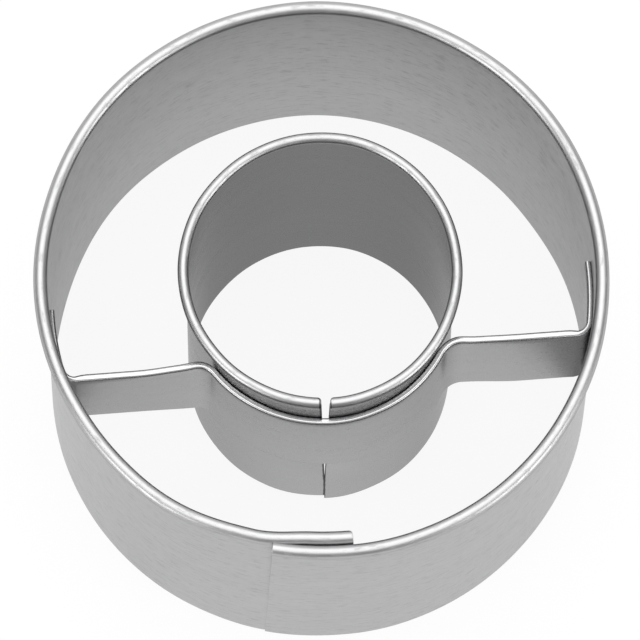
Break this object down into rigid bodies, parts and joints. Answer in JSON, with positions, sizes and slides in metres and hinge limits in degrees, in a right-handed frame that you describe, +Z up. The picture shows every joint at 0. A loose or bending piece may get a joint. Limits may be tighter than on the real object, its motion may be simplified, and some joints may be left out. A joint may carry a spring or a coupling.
{
  "type": "doughnut cutter",
  "caption": "Sheet-steel doughnut cutter: a lapped outer ring, a smaller ring for the hole and a folded bridge strip spot-welded between them.",
  "frame": {"origin": "on the plane of the cutting edges, at the middle of the two rings", "axes": "+Z up from the cutting edges to the rolled rims, +X along the bridge's arms to the right, -Y towards the lap at the front"},
  "size_m": [0.078, 0.0788, 0.045],
  "materials": {
    "sheet_steel": "satin",
    "weld_steel": "matte"
  },
  "bodies": {
    "root": {"outer_ring": "sheet_steel", "inner_ring": "sheet_steel", "bridge": "sheet_steel", "lap_welds": "weld_steel", "left_tab_welds": "weld_steel", "right_tab_welds": "weld_steel", "collar_welds": "weld_steel"}
  },
  "joints": []
}
